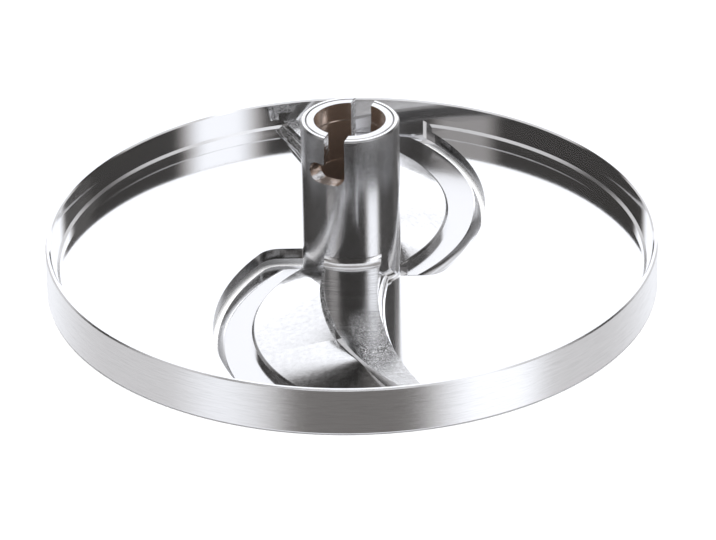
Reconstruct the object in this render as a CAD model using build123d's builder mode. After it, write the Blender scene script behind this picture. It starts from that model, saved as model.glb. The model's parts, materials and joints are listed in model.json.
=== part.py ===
"""Slicing disc for a food processor, resting on its cutting face with the drive hub upwards.

Units are millimetres and +Z points along the hub. The origin is on the disc's axis, at the level of the
blades and of the rim's lower edge. The front is -Y. Each arm with its window and blade comes twice, half a
turn apart, so one of them is described at the front and repeated around the axis.
"""
import math
import os

from build123d import *

# Overall sizes of the dish.
disc_diameter = 175.0
rim_height = 14.0
rim_wall = 1.5
rim_edge_bevel = 0.4
plate_thickness = 3.3
slice_thickness = 2.0
ledge_width = 2.4
ledge_height = 2.3
ledge_bevel = 0.7

# Drive hub and the steel sleeve pressed into it.
bore_diameter = 19.2
counterbore_step = 0.25
counterbore_depth = 17.5
lead_in_step = 0.6
lead_in_depth = 5.4
sleeve_wall = 2.9
sleeve_edge_bevel = 0.3
hub_wall = 1.5
hub_height = 51.3
hub_edge_bevel = 0.5
hub_foot_reach = 2.5
hub_cap_thickness = 5.0

# Bayonet slots in the open end of the hub.
slot_width = 6.0
slot_depth = 14.3
slot_turn = 19.5
hook_sweep = 23.0

# Crescent window between the plate's lip and the leading edge of the arm.
lip_centre = (34.7, -35.8)
lip_radius = 73.9
window_end = 8.6
window_end_round = 7.0
leaf_centre = (21.8, -35.5)
leaf_radius = 50.2
leaf_edge_height = 4.2

# Arm: a ramp that rises from the leading edge, and the turned spine behind it.
leaf_edge_bevel = 0.5
ramp_peak = (7.0, -16.0)
ramp_rise = 9.5
toe_peak = (4.0, -62.0)
toe_rise = 5.4
spine_front_centre = (70.2, -24.0)
spine_front_radius = 79.0
spine_back_centre = (117.0, -29.0)
spine_back_radius = 110.0
spine_height_at_hub = 11.8
spine_height_at_rim = 9.2
spine_hub_reach = 2.2
spine_foot_reach = 2.0
spine_heel_bevel = 1.5

# Collar that climbs round the hub's foot, from the tip of the leading edge to the top of the spine.
collar_width = 1.3
collar_foot = (-15.0, -2.6)
collar_slope = 31.5
collar_slope_turn = -35.0

# Sickle blades and their countersunk screws.
blade_thickness = 2.0
blade_edge_thickness = 0.2
blade_lip_gap = 1.2
bevel_centre = (24.5, -40.0)
bevel_radius = 60.5
bevel_width = 3.4
bevel_end = 2.4
blade_back_gap = 1.0
blade_tail = 12.0
blade_hub_gap = 2.0
blade_rim_gap = 1.0
seat_clearance = 0.05
screw_rows = (-28.0, -53.0)
screw_inset = 6.0
screw_diameter = 3.0
screw_head_diameter = 5.6
countersink_angle = 90.0
screw_length = 5.0
screw_clearance = 0.2
key_width = 1.6
key_depth = 0.8

# How much flatter than a quarter round the hollow curves at the feet are.
foot_flatness = 1.3

# Values worked out from the sizes above.
units = 2
disc_radius = disc_diameter / 2
rim_inner = disc_radius - rim_wall
rim_root = disc_radius - rim_wall / 2
ledge_inner = rim_inner - ledge_width
plate_top = slice_thickness + plate_thickness
bore_radius = bore_diameter / 2
sleeve_radius = bore_radius + sleeve_wall
hub_radius = sleeve_radius + hub_wall
slot_floor = hub_height - slot_depth
hook_level = slot_floor + slot_width / 2
blade_edge_radius = lip_radius - blade_lip_gap
blade_end = window_end - blade_lip_gap
blade_end_round = window_end_round - blade_lip_gap
bevel_depth = blade_thickness - blade_edge_thickness
wheel_radius = (bevel_width**2 + bevel_depth**2) / (2 * bevel_depth)
blade_back_radius = spine_front_radius + blade_back_gap
screw_arc_radius = blade_back_radius + screw_inset
head_taper = math.radians(countersink_angle / 2)
head_height = (screw_head_diameter - screw_diameter) / 2 / math.tan(head_taper)


def turned_left(degrees):
    """Direction in plan that lies so many degrees left of the front, as seen from above."""
    angle = math.radians(270.0 - degrees)
    return math.cos(angle), math.sin(angle)


def plane_along(degrees):
    """Vertical plane through the axis, with its x axis so many degrees left of the front."""
    x, y = turned_left(degrees)
    return Plane((0, 0, 0), x_dir=(x, y, 0), z_dir=(y, -x, 0))


def plane_facing(degrees, height):
    """Vertical plane through the axis that faces so many degrees left of the front."""
    x, y = turned_left(degrees)
    return Plane((0, 0, height), x_dir=(-y, x, 0), z_dir=(x, y, 0))


def left_side_of(centre, radius, y):
    """Left-hand point of a circle at a given y."""
    return centre[0] - math.sqrt(radius**2 - (y - centre[1]) ** 2), y


def arcs(builder, radius, height):
    """Circular edges of one radius that lie at one height on the part being built."""
    level = builder.edges().filter_by(GeomType.CIRCLE).filter_by_position(Axis.Z, height, height)
    return level.filter_by(lambda edge: math.isclose(edge.radius, radius, abs_tol=0.01))


def foot_curve(foot, head):
    """Hollow curve between two points of a section, a little flatter than a quarter round."""
    return RadiusArc(foot, head, foot_flatness * abs(head[1] - foot[1]))


def bevel_section(plane, shoulder_at):
    """Section of what the grinding wheel takes off a blade, from the bevel's shoulder outwards."""
    with BuildSketch(plane) as section:
        with BuildLine():
            shoulder = (shoulder_at, blade_thickness)
            hollow = (shoulder_at + bevel_width, blade_edge_thickness)
            far = shoulder_at + disc_radius
            RadiusArc(shoulder, hollow, -wheel_radius)
            Polyline(hollow, (far, hollow[1]), (far, shoulder[1]), shoulder)
        make_face()
    return section.sketch


# Plan of the opening from the plate's lip to the back of the arm.
with BuildSketch() as opening_plan:
    with Locations((-disc_radius / 2, (window_end - disc_radius) / 2)):
        Rectangle(disc_radius, window_end + disc_radius)
    with Locations((disc_radius / 2, -disc_radius / 2)):
        Rectangle(disc_radius, disc_radius)
    with Locations(lip_centre):
        Circle(lip_radius, mode=Mode.INTERSECT)
    with Locations(spine_back_centre):
        Circle(spine_back_radius, mode=Mode.SUBTRACT)
    Circle(rim_root, mode=Mode.INTERSECT)
    fillet(opening_plan.vertices().group_by(Axis.Y)[-1].sort_by(Axis.X)[0], window_end_round)

# Plan of the arm, from its leading edge to the back of its spine.
with BuildSketch() as leaf_circle:
    with Locations(leaf_centre):
        Circle(leaf_radius)
with BuildSketch(Plane.XY.offset(leaf_edge_height)) as leaf_top_circle:
    with Locations(leaf_centre):
        Circle(leaf_radius - leaf_edge_bevel)
with BuildSketch() as arm_plan:
    add(leaf_circle.sketch)
    with Locations(spine_back_centre):
        Circle(spine_back_radius, mode=Mode.SUBTRACT)
    with Locations((0, -disc_radius / 2)):
        Rectangle(disc_diameter, disc_radius, mode=Mode.INTERSECT)
    Circle(rim_root, mode=Mode.INTERSECT)
with BuildSketch() as spine_circle:
    with Locations(spine_front_centre):
        Circle(spine_front_radius)

# Collar round the hub's foot, cut off by a plane that slopes up from the tip of the leading edge.
with BuildPart() as collar:
    with BuildSketch():
        Circle(hub_radius + collar_width)
    extrude(amount=hub_height)
    uphill = turned_left(collar_slope_turn)
    slope = math.tan(math.radians(collar_slope))
    collar_top = Plane((*collar_foot, leaf_edge_height), z_dir=(-slope * uphill[0], -slope * uphill[1], 1))
    split(bisect_by=collar_top, keep=Keep.BOTTOM)

# Ramp of the arm: straight lines run from the leading edge to a peak beside the hub, and to a lower one
# by the rim.
with BuildPart() as ramp:
    add(leaf_circle.sketch)
    extrude(amount=leaf_edge_height)
    chamfer(arcs(ramp, leaf_radius, leaf_edge_height), leaf_edge_bevel)
    loft([leaf_top_circle.sketch, Vertex(*ramp_peak, leaf_edge_height + ramp_rise)])
    loft([leaf_top_circle.sketch, Vertex(*toe_peak, leaf_edge_height + toe_rise)])
    add(collar.part)
    with BuildSketch():
        add(arm_plan.sketch)
        add(spine_circle.sketch, mode=Mode.SUBTRACT)
    extrude(amount=leaf_edge_height + ramp_rise, mode=Mode.INTERSECT)

# Spine of the arm, faced on the lathe to a shallow cone that turns up into the hub.
with BuildPart() as spine:
    with BuildSketch(Plane.XZ):
        with BuildLine():
            curve_foot = (hub_radius + spine_hub_reach, spine_height_at_hub)
            curve_head = (hub_radius, spine_height_at_hub + spine_hub_reach)
            rim_side = (disc_radius, spine_height_at_rim)
            foot_curve(curve_foot, curve_head)
            Polyline(curve_head, (0, curve_head[1]), (0, 0), (disc_radius, 0), rim_side, curve_foot)
        make_face()
    revolve(axis=Axis.Z)
    with BuildSketch():
        add(arm_plan.sketch)
        add(spine_circle.sketch, mode=Mode.INTERSECT)
    extrude(amount=spine_height_at_hub + spine_hub_reach, mode=Mode.INTERSECT)
    chamfer(arcs(spine, spine_back_radius, 0), spine_heel_bevel)

# Hollow curve along the foot of the spine's back, on the plate.
with BuildPart() as spine_foot:
    with BuildSketch(Plane(origin=(*spine_back_centre, 0), x_dir=(-1, 0, 0), z_dir=(0, 1, 0))):
        with BuildLine():
            toe = (spine_back_radius - spine_foot_reach, plate_top)
            shin = (spine_back_radius, plate_top + spine_foot_reach)
            inside = spine_back_radius + spine_foot_reach
            foot_curve(toe, shin)
            Polyline(shin, (inside, shin[1]), (inside, slice_thickness), (toe[0], slice_thickness), toe)
        make_face()
    revolve(axis=Axis((*spine_back_centre, 0), (0, 0, 1)))
    with BuildSketch():
        Circle(rim_root)
        with Locations((0, disc_radius / 2)):
            Rectangle(disc_diameter, disc_radius, mode=Mode.SUBTRACT)
    extrude(amount=rim_height, mode=Mode.INTERSECT)

# Cutter for one bayonet slot: straight in from the hub's end, then round to the left.
with BuildPart() as bayonet:
    with BuildSketch(plane_facing(slot_turn, hook_level)):
        with Locations((0, slot_depth / 2)):
            Rectangle(slot_width, slot_depth)
        Circle(slot_width / 2)
    extrude(amount=2 * hub_radius)
    with BuildSketch(plane_along(slot_turn + hook_sweep)):
        with Locations((hub_radius, hook_level)):
            Rectangle(2 * hub_radius, slot_width)
    revolve(axis=Axis.Z, revolution_arc=hook_sweep)
    with BuildSketch(plane_facing(slot_turn + hook_sweep, hook_level)):
        Circle(slot_width / 2)
    extrude(amount=2 * hub_radius)

# Plan of one blade.
with BuildSketch() as blade_plan:
    with Locations(((blade_tail - disc_radius) / 2, (blade_end - disc_radius) / 2)):
        Rectangle(blade_tail + disc_radius, blade_end + disc_radius)
    with Locations(lip_centre):
        Circle(blade_edge_radius, mode=Mode.INTERSECT)
    fillet(blade_plan.vertices().group_by(Axis.Y)[-1].sort_by(Axis.X)[0], blade_end_round)
    with Locations(spine_front_centre):
        Circle(blade_back_radius, mode=Mode.SUBTRACT)
    Circle(rim_inner - blade_rim_gap, mode=Mode.INTERSECT)
    Circle(hub_radius + blade_hub_gap, mode=Mode.SUBTRACT)
screw_places = [left_side_of(spine_front_centre, screw_arc_radius, y) for y in screw_rows]

# Body of the disc: plate, rim, arms and hub cast in one.
with BuildPart() as disc_body:
    with BuildSketch(Plane.XY.offset(slice_thickness)):
        Circle(rim_root)
    extrude(amount=plate_thickness)
    with BuildSketch(Plane.XY.offset(plate_top)):
        Circle(rim_root)
        Circle(ledge_inner, mode=Mode.SUBTRACT)
    extrude(amount=ledge_height)
    chamfer(arcs(disc_body, ledge_inner, plate_top + ledge_height), ledge_bevel)

    # Hollow curve round the hub's foot, then the windows through plate, ledge and foot.
    with BuildSketch(Plane.XZ):
        with BuildLine():
            toe = (hub_radius + hub_foot_reach, plate_top)
            shin = (hub_radius, plate_top + hub_foot_reach)
            foot_curve(toe, shin)
            Polyline(shin, (0, shin[1]), (0, slice_thickness), (toe[0], slice_thickness), toe)
        make_face()
    revolve(axis=Axis.Z)
    with BuildSketch():
        with PolarLocations(0, units):
            add(opening_plan.sketch)
    extrude(amount=rim_height, mode=Mode.SUBTRACT)

    # Hub with a bevelled end.
    with BuildSketch(Plane.XZ):
        with BuildLine():
            bevel_foot = (hub_radius, hub_height - hub_edge_bevel)
            bevel_head = (hub_radius - hub_edge_bevel, hub_height)
            Polyline((0, 0), (hub_radius, 0), bevel_foot, bevel_head, (0, hub_height), close=True)
        make_face()
    revolve(axis=Axis.Z)

    # Arms.
    with PolarLocations(0, units):
        add(ramp.part)
        add(spine.part)
        add(spine_foot.part)

    # Rim, bevelled along its edges.
    with BuildSketch(Plane.XZ) as rim_section:
        with Locations((rim_root, rim_height / 2)):
            Rectangle(rim_wall, rim_height)
        chamfer(rim_section.vertices().group_by(Axis.Y)[-1], rim_edge_bevel)
        chamfer(rim_section.vertices().group_by(Axis.Y)[0].sort_by(Axis.X)[-1], rim_edge_bevel)
    revolve(axis=Axis.Z)

    # Seat of the sleeve and bayonet slots.
    with BuildSketch(Plane.XY.offset(hub_height)):
        Circle(sleeve_radius)
    extrude(amount=hub_cap_thickness - hub_height, mode=Mode.SUBTRACT)
    with PolarLocations(0, units):
        add(bayonet.part, mode=Mode.SUBTRACT)

    # Underside of the arms: seats for the blades and blind holes for their screws.
    with BuildSketch():
        with PolarLocations(0, units):
            add(offset(blade_plan.sketch, seat_clearance, mode=Mode.PRIVATE))
    extrude(amount=blade_thickness, mode=Mode.SUBTRACT)
    with BuildSketch():
        with PolarLocations(0, units):
            with Locations(*screw_places):
                Circle(screw_diameter / 2)
    extrude(amount=screw_length, mode=Mode.SUBTRACT)

# Steel sleeve with the bore for the drive shaft.
with BuildPart() as hub_sleeve:
    with BuildSketch(Plane.XY.offset(hub_cap_thickness)):
        Circle(sleeve_radius)
        Circle(bore_radius, mode=Mode.SUBTRACT)
    extrude(amount=hub_height - hub_cap_thickness)
    chamfer(arcs(hub_sleeve, sleeve_radius, hub_height), sleeve_edge_bevel)
    with BuildSketch(Plane.XY.offset(hub_height)):
        Circle(bore_radius + counterbore_step)
    extrude(amount=-counterbore_depth, mode=Mode.SUBTRACT)
    with BuildSketch(Plane.XY.offset(hub_height)):
        Circle(bore_radius + lead_in_step)
    extrude(amount=-lead_in_depth, mode=Mode.SUBTRACT)
    with PolarLocations(0, units):
        add(bayonet.part, mode=Mode.SUBTRACT)

# One blade: flat, and ground hollow along its edge and its hub end.
with BuildPart() as blade:
    add(blade_plan.sketch)
    extrude(amount=blade_thickness)
    bevel_plane = Plane((*bevel_centre, 0), x_dir=(-1, 0, 0), z_dir=(0, 1, 0))
    bevel_axis = Axis((*bevel_centre, 0), (0, 0, 1))
    revolve(bevel_section(bevel_plane, bevel_radius), bevel_axis, mode=Mode.SUBTRACT)
    extrude(bevel_section(Plane.YZ, bevel_end), disc_radius, both=True, mode=Mode.SUBTRACT)
    with Locations(Plane.XY.rotated((180, 0, 0))):
        with Locations(*[(x, -y) for x, y in screw_places]):
            CounterSinkHole(
                (screw_diameter + screw_clearance) / 2,
                (screw_head_diameter + screw_clearance) / 2,
                counter_sink_angle=countersink_angle,
            )

# One countersunk screw, head down, with a hexagon key recess.
with BuildPart() as screw:
    with BuildSketch(Plane.XZ):
        with BuildLine():
            shank = screw_diameter / 2
            head = screw_head_diameter / 2
            neck = (shank, head_height)
            Polyline((0, 0), (head, 0), neck, (shank, screw_length), (0, screw_length), close=True)
        make_face()
    revolve(axis=Axis.Z)
    with BuildSketch():
        RegularPolygon(key_width / 2, 6, major_radius=False)
    extrude(amount=key_depth, mode=Mode.SUBTRACT)
with BuildPart() as blade_screws:
    with PolarLocations(0, units):
        with Locations(*screw_places):
            add(screw.part)

# Finished pieces, one file each.
blade_1 = blade.part
blade_2 = blade.part.rotate(Axis.Z, 360 / units)
pieces = {
    "disc_body": disc_body.part,
    "hub_sleeve": hub_sleeve.part,
    "blade_1": blade_1,
    "blade_2": blade_2,
    "blade_screws": blade_screws.part,
}
os.makedirs("parts", exist_ok=True)
for label, piece in pieces.items():
    piece.label = label
    export_step(piece, f"parts/{label}.step")
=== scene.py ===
"""Slicing disc for a food processor: finishes, studio light and the photograph's camera."""
import collections
import json
import math

import bpy
from mathutils import Matrix, Vector


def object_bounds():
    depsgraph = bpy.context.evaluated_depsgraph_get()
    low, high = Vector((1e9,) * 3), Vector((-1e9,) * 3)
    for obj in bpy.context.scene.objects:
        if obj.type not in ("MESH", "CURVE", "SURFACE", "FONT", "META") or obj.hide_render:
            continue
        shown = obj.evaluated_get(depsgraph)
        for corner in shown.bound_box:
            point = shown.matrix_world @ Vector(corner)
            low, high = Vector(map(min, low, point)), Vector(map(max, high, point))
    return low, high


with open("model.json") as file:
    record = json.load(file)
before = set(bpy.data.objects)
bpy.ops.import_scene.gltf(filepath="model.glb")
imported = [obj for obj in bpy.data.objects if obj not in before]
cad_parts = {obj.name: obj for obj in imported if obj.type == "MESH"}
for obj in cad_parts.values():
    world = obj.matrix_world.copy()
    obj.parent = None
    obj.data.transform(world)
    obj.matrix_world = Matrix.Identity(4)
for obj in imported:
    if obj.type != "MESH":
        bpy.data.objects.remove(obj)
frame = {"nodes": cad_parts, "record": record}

cad_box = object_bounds()

# Camera, as fitted to the photograph: distances in metres, angles in degrees.
FOCAL_PIXELS = 5000.0
IMAGE_WIDTH = 716.0
SENSOR_WIDTH_MM = 36.0
CAMERA_DISTANCE = 1.4351
CAMERA_ELEVATION = 29.10
CAMERA_YAW = 0.067
CAMERA_PITCH = 0.092
CAMERA_ROLL = -0.947

# Soft boxes and shades of the studio, seen from the disc. Angles are in degrees: azimuth 0 is the camera's
# side and grows to the right, and height is above the horizon. A negative strength is a shade.
Panel = collections.namedtuple("Panel", "azimuth half_width lowest highest strength softness")
PANEL_HEIGHT_SOFTNESS = 3.0
PANELS = {
    "back": Panel(177, 28, -8, 43, 1.20, 5),
    "back right": Panel(138, 16, 31, 50, 0.80, 5),
    "front right strip": Panel(52, 14, 8, 55, 1.15, 8),
    "front left strip": Panel(-46, 12, 8, 50, 0.30, 5),
    "high left": Panel(-95, 32, 36, 58, 0.65, 8),
    "high right": Panel(95, 32, 36, 58, 0.65, 8),
    "high front": Panel(0, 80, 54, 76, 0.50, 10),
    "ceiling": Panel(0, 220, 56, 110, 0.32, 5),
    "gap in the ceiling": Panel(-152, 24, 55, 62, -0.30, 8),
    "horizon": Panel(180, 130, -4, 22, 0.70, 10),
    "table": Panel(180, 220, -110, -4, 0.64, 5),
    "table's front edge": Panel(0, 27, -110, -4, -0.50, 6),
    "table under the right strip": Panel(55, 18, -110, -4, 0.55, 8),
    "table under the left strip": Panel(-51, 13, -110, -4, 0.34, 12),
    "table at the back": Panel(180, 48, -110, -4, 0.36, 28),
}
STUDIO_DARK = 0.045
DARK_TINT = (1.0, 0.94, 0.90, 1.0)
LIGHT_TINT = (0.95, 0.962, 1.0, 1.0)

# Floor and its own overhead lamp, in metres and watts.
FLOOR_HALF_SIDE = 4.0
FLOOR_DROP = 0.0003
FLOOR_COLOUR = (0.93, 0.93, 0.93, 1.0)
LAMP_HEIGHT = 1.5
LAMP_SIDE = 2.0
LAMP_POWER = 70.0

# Plan and heights of the disc in millimetres, as in the CAD. A circle is its centre's x and y and its radius,
# for the arm at the front.
MM = 0.001
DISC_RADIUS = cad_box[1][0] / MM
HUB_HEIGHT = cad_box[1][2] / MM
RIM_WALL = 1.5
LEDGE_WIDTH = 2.4
RIM_INNER_RADIUS = DISC_RADIUS - RIM_WALL
LEDGE_RADIUS = RIM_INNER_RADIUS - LEDGE_WIDTH
PLATE_TOP = 5.3
HUB_RADIUS = 14.0
HUB_FOOT_RADIUS = 16.5
SLEEVE_RADIUS = 12.5
BORE_RADIUS = 9.6
LEAD_IN_RADIUS = BORE_RADIUS + 0.7
SPINE_FRONT = (70.2, -24.0, 79.0)
SPINE_BACK = (117.0, -29.0, 110.0)
LEAF = (21.8, -35.5, 50.2)

# Slope of the line through the axis that parts the front unit, arm and window, from the back one.
UNIT_SPLIT = 0.6

# Where the casting's finish changes and where painted shade lies, in millimetres: heights, distances along y
# for the front arm, and distances outside a circle of the plan. Each pair is the start and the end of the
# change or of the band.
HUB_DULLS_AND_SHADES = (33.0, 46.0)
SHADED_NOOK_ENDS = (11.5, 9.5)
BURR_STARTS = (-50.0, -40.0)
BURR_BAND = (-0.7, 0.3)
PORES_START = (-36.0, -50.0)
PORES_BAND = (11.0, 4.0)
LEAF_SHADE_LINE_BAND = (-0.7, 0.0)

PLATE_ROUGHNESS = 0.09
PLATE_WAVES = 0.01
ALUMINIUM = (0.91, 0.912, 0.92, 1.0)
STEEL = (0.80, 0.80, 0.81, 1.0)
GRIME_AND_SHADE = (0.05, 0.045, 0.04, 1.0)
OILED = (0.62, 0.50, 0.42, 1.0)


class Graph:
    """Node tree under construction: each method adds a node and gives its output."""

    def __init__(self, tree):
        self.tree = tree

    def add(self, kind, inputs=(), **settings):
        """New node with its properties set and its first inputs fed."""
        node = self.tree.nodes.new("ShaderNode" + kind)
        for name, value in settings.items():
            setattr(node, name, value)
        for socket, value in zip(node.inputs, inputs):
            self.feed(socket, value)
        return node

    def feed(self, socket, value):
        """Links a socket to another node's output, or sets it to a plain value."""
        if isinstance(value, bpy.types.NodeSocket):
            self.tree.links.new(value, socket)
        else:
            socket.default_value = value

    def math(self, operation, *values):
        return self.add("Math", values, operation=operation).outputs[0]

    def product(self, first, *others):
        for other in others:
            first = self.math("MULTIPLY", first, other)
        return first

    def step(self, value, start, end):
        """Smooth step from 0 at start to 1 at end."""
        node = self.add("MapRange", (value, start, end, 0.0, 1.0), interpolation_type="SMOOTHSTEP")
        return node.outputs[0]

    def span(self, value, start, end, soft):
        """1 between start and end, falling softly to 0 outside."""
        rise = self.step(value, start - soft, start + soft)
        fall = self.step(value, end + soft, end - soft)
        return self.math("MULTIPLY", rise, fall)

    def mix(self, share, low, high):
        node = self.add("Mix", data_type="FLOAT")
        for index, value in zip((0, 2, 3), (share, low, high)):
            self.feed(node.inputs[index], value)
        return node.outputs[0]

    def mix_colour(self, share, low, high):
        node = self.add("Mix", data_type="RGBA")
        for index, value in zip((0, 6, 7), (share, low, high)):
            self.feed(node.inputs[index], value)
        return node.outputs[2]

    def vector(self, x, y, z):
        return self.add("CombineXYZ", (x, y, z)).outputs[0]

    def split(self, vector):
        return self.add("SeparateXYZ", (vector,)).outputs

    def noise(self, vector, detail=2.0, roughness=0.5):
        """Noise from 0 to 1 whose grains are about one unit of the vector apart."""
        node = self.add("TexNoise")
        for name, value in (("Vector", vector), ("Scale", 1.0), ("Detail", detail), ("Roughness", roughness)):
            self.feed(node.inputs[name], value)
        return node.outputs[0]


class Place:
    """Where a point of the surface lies, in millimetres, with the back half turned onto the front one."""

    def __init__(self, graph):
        self.graph = graph
        coordinates = graph.add("TexCoord")
        scaled = graph.add("VectorMath", (coordinates.outputs["Object"],), operation="SCALE")
        scaled.inputs["Scale"].default_value = 1 / MM
        self.x, self.y, self.z = graph.split(scaled.outputs[0])
        self.up = graph.split(coordinates.outputs["Normal"])[2]
        self.radius = self.distance(self.x, self.y)
        turn = graph.math("SIGN", graph.math("MULTIPLY_ADD", self.x, UNIT_SPLIT, self.y))
        self.front_x = graph.product(self.x, turn, -1.0)
        self.front_y = graph.product(self.y, turn, -1.0)

    def distance(self, x, y):
        graph = self.graph
        squares = graph.math("ADD", graph.math("MULTIPLY", x, x), graph.math("MULTIPLY", y, y))
        return graph.math("SQRT", squares)

    def outside(self, circle):
        """Distance outside a circle of the front arm's plan; negative inside it."""
        graph = self.graph
        x = graph.math("SUBTRACT", self.front_x, circle[0])
        y = graph.math("SUBTRACT", self.front_y, circle[1])
        return graph.math("SUBTRACT", self.distance(x, y), circle[2])

    def scaled(self, x, y, z):
        """Coordinates for grain that is as fine along each axis as its factor is large."""
        graph = self.graph
        pairs = ((self.x, x), (self.y, y), (self.z, z))
        return graph.vector(*[graph.math("MULTIPLY", *pair) for pair in pairs])

    def stretched(self, across, up):
        """Coordinates for grain that runs round the disc or the hub."""
        return self.scaled(across, across, up)

    def ringed(self, outward, across):
        """Coordinates for turning marks: rings round the axis."""
        graph = self.graph
        pairs = ((self.radius, outward), (self.x, across), (self.y, across))
        return graph.vector(*[graph.math("MULTIPLY", *pair) for pair in pairs])


def new_material(name, colour, roughness):
    """Metal with its even values set, the graph of its nodes and its shader."""
    material = bpy.data.materials.new(name)
    material.use_nodes = True
    shader = material.node_tree.nodes["Principled BSDF"]
    shader.inputs["Base Color"].default_value = colour
    shader.inputs["Metallic"].default_value = 1.0
    shader.inputs["Roughness"].default_value = roughness
    return material, Graph(material.node_tree), shader


def add_bump(graph, shader, height):
    """Relief of a surface, given in millimetres."""
    bump = graph.add("Bump")
    bump.inputs["Distance"].default_value = MM
    graph.feed(bump.inputs["Height"], height)
    graph.feed(shader.inputs["Normal"], bump.outputs[0])


Grains = collections.namedtuple("Grains", "cast fine torn speckle brushed turned milled")


def body_grains(graph, place):
    """Patterns that casting, polishing and machining left on the body."""
    return Grains(
        cast=graph.noise(place.stretched(1.8, 1.8), detail=4.0),
        fine=graph.noise(place.stretched(0.6, 0.6), detail=5.0, roughness=0.6),
        torn=graph.noise(place.stretched(1.6, 1.6), detail=3.0),
        speckle=graph.noise(place.stretched(2.6, 2.6), detail=3.0),
        brushed=graph.noise(place.stretched(0.14, 5.0), detail=4.0, roughness=0.7),
        turned=graph.noise(place.ringed(2.6, 0.05), detail=3.0, roughness=0.6),
        milled=graph.noise(place.stretched(0.5, 1.3), detail=2.0),
    )


# Finish of an area: its grain sways the roughness by spread, the height by relief in millimetres and the
# shade by mottle. Shade 0 is the dark colour used for grime and for painted shade, and shade 1 clean metal.
Zone = collections.namedtuple("Zone", "mask grain roughness spread relief shade mottle")


def body_zones(graph, place):
    """Areas of the casting that were finished in different ways, and areas darkened with painted shade, later
    ones over earlier ones.
    """
    grains = body_grains(graph, place)
    step, span, product = graph.step, graph.span, graph.product
    spine = place.outside(SPINE_FRONT)
    leaf = place.outside(LEAF)
    flat = step(place.up, 0.55, 0.75)
    upright = step(place.up, 0.5, 0.3)
    dish = span(place.radius, HUB_FOOT_RADIUS, RIM_INNER_RADIUS - 0.2, 0.15)
    raised = step(place.z, PLATE_TOP + 0.2, PLATE_TOP + 0.5)
    inside_ledge = step(place.radius, LEDGE_RADIUS - 0.2, LEDGE_RADIUS - 0.4)
    before_spine = step(spine, -0.05, 0.05)
    behind_spine = step(spine, 0.05, -0.05)

    ramp = product(flat, dish, before_spine, step(leaf, 0.3, 0.0))
    crown = product(flat, dish, inside_ledge, raised, behind_spine)
    pores = product(crown, step(place.front_y, *PORES_START), step(grains.speckle, 0.48, 0.60),
                    step(place.outside(SPINE_BACK), *PORES_BAND))
    bevel = product(span(place.up, 0.5, 0.9, 0.1),
                    span(place.radius, LEDGE_RADIUS - 0.1, LEDGE_RADIUS + 0.8, 0.1))
    # Painted shade: a thin dark line along the inside of the leaf's edge.
    line = product(flat, dish, before_spine, span(leaf, *LEAF_SHADE_LINE_BAND, 0.15))
    burr = product(raised, step(place.radius, HUB_FOOT_RADIUS, HUB_FOOT_RADIUS + 1),
                   step(place.radius, DISC_RADIUS - 6, DISC_RADIUS - 7),
                   step(place.front_y, *BURR_STARTS), span(spine, *BURR_BAND, 0.2))
    # Painted shade: the plate's upright walls below its top, such as the lips of the windows, are darkened in
    # colour.
    edge = product(upright, step(place.z, PLATE_TOP + 0.1, PLATE_TOP),
                   span(place.radius, HUB_FOOT_RADIUS, LEDGE_RADIUS - 1.0, 0.2), step(leaf, 0.3, 0.6))
    rim = step(place.radius, DISC_RADIUS - 0.6, DISC_RADIUS - 0.3)
    hub = product(step(place.radius, HUB_FOOT_RADIUS, HUB_RADIUS + 0.6),
                  step(place.z, PLATE_TOP, PLATE_TOP + 1))
    # Painted shade: above these heights the hub's top is darkened in colour for the dark it reflects over the
    # rim, and made duller.
    shaded_hub_top = product(hub, step(place.z, *HUB_DULLS_AND_SHADES))
    # Painted shade in the hollow between the leaf and the hub's foot, with a torn grain.
    shaded_nook = product(step(place.radius, HUB_FOOT_RADIUS + 1.5, HUB_FOOT_RADIUS - 1.0), before_spine,
                   step(leaf, 0.0, -0.5), step(place.z, *SHADED_NOOK_ENDS))
    end = product(hub, step(place.z, HUB_HEIGHT - 0.1, HUB_HEIGHT - 0.05))
    seam = product(end, step(place.radius, SLEEVE_RADIUS + 0.25, SLEEVE_RADIUS + 0.15))
    slots = product(hub, step(place.radius, HUB_RADIUS - 0.05, HUB_RADIUS - 0.15),
                    step(place.z, HUB_HEIGHT - 0.3, HUB_HEIGHT - 0.6))
    return [
        Zone(ramp, grains.fine, 0.15, 0.05, 0.010, 0.90, 0.25),
        Zone(crown, grains.turned, 0.13, 0.06, 0.006, 0.85, 0.40),
        Zone(pores, grains.speckle, 0.20, 0.04, 0.700, 0.70, 2.00),
        Zone(bevel, grains.fine, 0.22, 0.02, 0.010, 1.00, 0.10),
        Zone(line, grains.fine, 0.20, 0.03, 0.010, 0.30, 0.10),
        Zone(burr, grains.speckle, 0.20, 0.05, 0.800, 0.25, 2.50),
        Zone(edge, grains.fine, 0.20, 0.05, 0.020, 0.30, 0.15),
        Zone(rim, grains.brushed, 0.17, 0.08, 0.018, 0.97, 0.25),
        Zone(hub, grains.cast, 0.16, 0.06, 0.012, 0.97, 0.15),
        Zone(shaded_hub_top, grains.cast, 0.23, 0.03, 0.008, 0.38, 0.12),
        Zone(shaded_nook, grains.torn, 0.23, 0.02, 0.100, 0.25, 0.40),
        Zone(end, grains.turned, 0.23, 0.02, 0.004, 1.00, 0.20),
        Zone(seam, grains.turned, 0.23, 0.02, 0.004, 0.15, 0.00),
        Zone(slots, grains.milled, 0.22, 0.03, 0.120, 0.95, 0.40),
    ]


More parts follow.
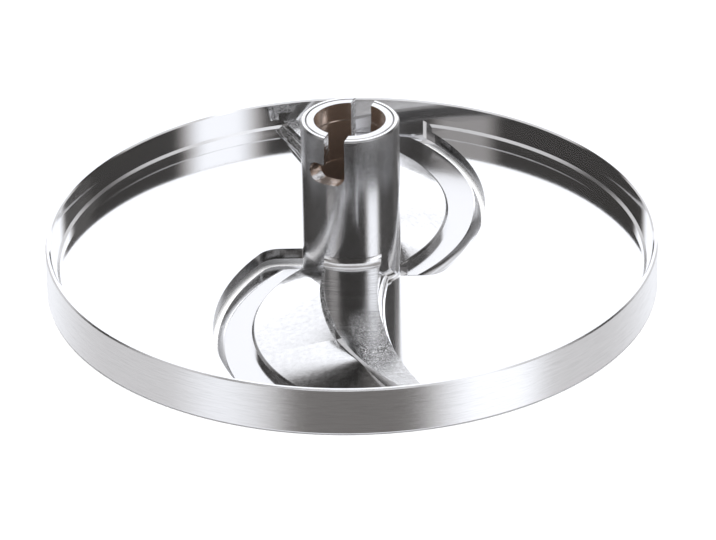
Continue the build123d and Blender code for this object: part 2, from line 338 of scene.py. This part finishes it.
def cast_body():
    """Cast aluminium: polished plate, brushed rim, turned arms, satin ramps and hub, milled slots, with
    painted shade on the hub's top, the plate's upright walls, the hollow by the hub and a line along the
    leaf's edge.
    """
    material, graph, shader = new_material("cast_body", ALUMINIUM, PLATE_ROUGHNESS)
    place = Place(graph)
    waves = graph.noise(place.stretched(0.05, 0.05), detail=1.0)
    roughness = PLATE_ROUGHNESS
    shade = 1.0
    relief = graph.math("MULTIPLY", waves, PLATE_WAVES)
    for zone in body_zones(graph, place):
        swing = graph.math("SUBTRACT", zone.grain, 0.5)
        roughness = graph.mix(zone.mask, roughness,
                              graph.math("MULTIPLY_ADD", swing, 2 * zone.spread, zone.roughness))
        relief = graph.mix(zone.mask, relief, graph.math("MULTIPLY", swing, zone.relief))
        shade = graph.mix(zone.mask, shade, graph.math("MULTIPLY_ADD", swing, 2 * zone.mottle, zone.shade))
    # Base colour runs from grime and painted shade at shade 0 to clean aluminium at shade 1.
    graph.feed(shader.inputs["Base Color"], graph.mix_colour(shade, GRIME_AND_SHADE, ALUMINIUM))
    graph.feed(shader.inputs["Roughness"], roughness)
    add_bump(graph, shader, relief)
    return material


def sleeve_steel():
    """Turned steel with an oily brown bore."""
    material, graph, shader = new_material("sleeve_steel", STEEL, 0.25)
    place = Place(graph)
    bore = graph.product(graph.step(place.radius, LEAD_IN_RADIUS + 0.05, LEAD_IN_RADIUS - 0.05),
                         graph.step(place.up, 0.5, 0.3))
    turned = graph.noise(place.stretched(0.1, 3.0), detail=3.0)
    milled = graph.noise(place.stretched(0.5, 1.3), detail=2.0)
    slots = graph.product(graph.step(place.radius, LEAD_IN_RADIUS + 0.05, LEAD_IN_RADIUS + 0.15),
                          graph.step(place.z, HUB_HEIGHT - 0.3, HUB_HEIGHT - 0.6))
    graph.feed(shader.inputs["Base Color"], graph.mix_colour(bore, STEEL, OILED))
    graph.feed(shader.inputs["Metallic"], graph.mix(bore, 1.0, 0.90))
    graph.feed(shader.inputs["Roughness"], graph.math("MULTIPLY_ADD", turned, 0.12, 0.14))
    relief = graph.mix(slots, graph.math("MULTIPLY", turned, 0.008), graph.math("MULTIPLY", milled, 0.12))
    add_bump(graph, shader, relief)
    return material


def blade_steel():
    """Ground steel, with grinding lines across the blade."""
    material, graph, shader = new_material("blade_steel", STEEL, 0.2)
    place = Place(graph)
    lines = graph.noise(place.scaled(0.1, 3.0, 3.0), detail=3.0)
    graph.feed(shader.inputs["Roughness"], graph.math("MULTIPLY_ADD", lines, 0.1, 0.12))
    add_bump(graph, shader, graph.math("MULTIPLY", lines, 0.003))
    return material


def screw_steel():
    """Plain machined steel."""
    material, graph, shader = new_material("screw_steel", STEEL, 0.3)
    place = Place(graph)
    grain = graph.noise(place.stretched(2.0, 4.0), detail=2.0)
    graph.feed(shader.inputs["Roughness"], graph.math("MULTIPLY_ADD", grain, 0.15, 0.22))
    add_bump(graph, shader, graph.math("MULTIPLY", grain, 0.01))
    return material


def dress_nodes():
    """Gives every CAD node the finish of its material slot."""
    finishes = {make.__name__: make() for make in (cast_body, sleeve_steel, blade_steel, screw_steel)}
    for row in frame["record"]["subparts"]:
        frame["nodes"][row["node"]].data.materials[0] = finishes[row["material_slot"]]


def add_studio():
    """Soft boxes round the disc, as a world that only the metal reflects."""
    world = bpy.data.worlds.new("studio")
    world.use_nodes = True
    bpy.context.scene.world = world
    graph = Graph(world.node_tree)
    x, y, z = graph.split(graph.add("TexCoord").outputs["Generated"])
    azimuth = graph.math("DEGREES", graph.math("ARCTAN2", x, graph.math("MULTIPLY", y, -1.0)))
    height = graph.math("DEGREES", graph.math("ARCSINE", z))
    light = STUDIO_DARK
    for panel in PANELS.values():
        offset = graph.math("WRAP", graph.math("SUBTRACT", azimuth, panel.azimuth), 180.0, -180.0)
        width = graph.span(offset, -panel.half_width, panel.half_width, panel.softness)
        level = graph.span(height, panel.lowest, panel.highest, PANEL_HEIGHT_SOFTNESS)
        light = graph.math("MULTIPLY_ADD", graph.math("MULTIPLY", width, level), panel.strength, light)
    light = graph.math("MAXIMUM", light, 0.0)
    background = world.node_tree.nodes["Background"]
    graph.feed(background.inputs["Color"], graph.mix_colour(light, DARK_TINT, LIGHT_TINT))
    graph.feed(background.inputs["Strength"], light)


def add_floor():
    """Plain pale floor under a lamp of its own, both kept out of the metal's reflections."""
    side = FLOOR_HALF_SIDE
    mesh = bpy.data.meshes.new("floor")
    corners = [(x, y, -FLOOR_DROP) for x, y in ((-side, -side), (side, -side), (side, side), (-side, side))]
    mesh.from_pydata(corners, [], [(0, 1, 2, 3)])
    material = bpy.data.materials.new("floor")
    material.use_nodes = True
    material.node_tree.nodes["Principled BSDF"].inputs["Base Color"].default_value = FLOOR_COLOUR
    mesh.materials.append(material)
    floor = bpy.data.objects.new("floor", mesh)
    lamp = bpy.data.lights.new("overhead", "AREA")
    lamp.energy = LAMP_POWER
    lamp.size = LAMP_SIDE
    overhead = bpy.data.objects.new("overhead", lamp)
    overhead.location = (0, 0, LAMP_HEIGHT)
    for thing in (floor, overhead):
        thing.visible_glossy = False
        bpy.context.scene.collection.objects.link(thing)


def add_camera():
    """Camera in front of the disc, aimed at the origin and then turned by the fitted small angles."""
    data = bpy.data.cameras.new("camera")
    data.sensor_width = SENSOR_WIDTH_MM
    data.lens = FOCAL_PIXELS / IMAGE_WIDTH * SENSOR_WIDTH_MM
    data.clip_start = 0.01
    camera = bpy.data.objects.new("camera", data)
    bpy.context.scene.collection.objects.link(camera)
    elevation = math.radians(CAMERA_ELEVATION)
    place = Vector((0, -math.cos(elevation), math.sin(elevation))) * CAMERA_DISTANCE
    aim = Matrix.Rotation(math.pi / 2 - elevation, 4, "X")
    turn = Matrix.Rotation(-math.radians(CAMERA_YAW), 4, "Y")
    tip = Matrix.Rotation(math.radians(CAMERA_PITCH), 4, "X")
    lean = Matrix.Rotation(math.radians(CAMERA_ROLL), 4, "Z")
    camera.matrix_world = Matrix.Translation(place) @ aim @ turn @ tip @ lean
    bpy.context.scene.camera = camera


dress_nodes()
add_studio()
add_floor()
add_camera()
bpy.context.scene.view_settings.view_transform = "Standard"
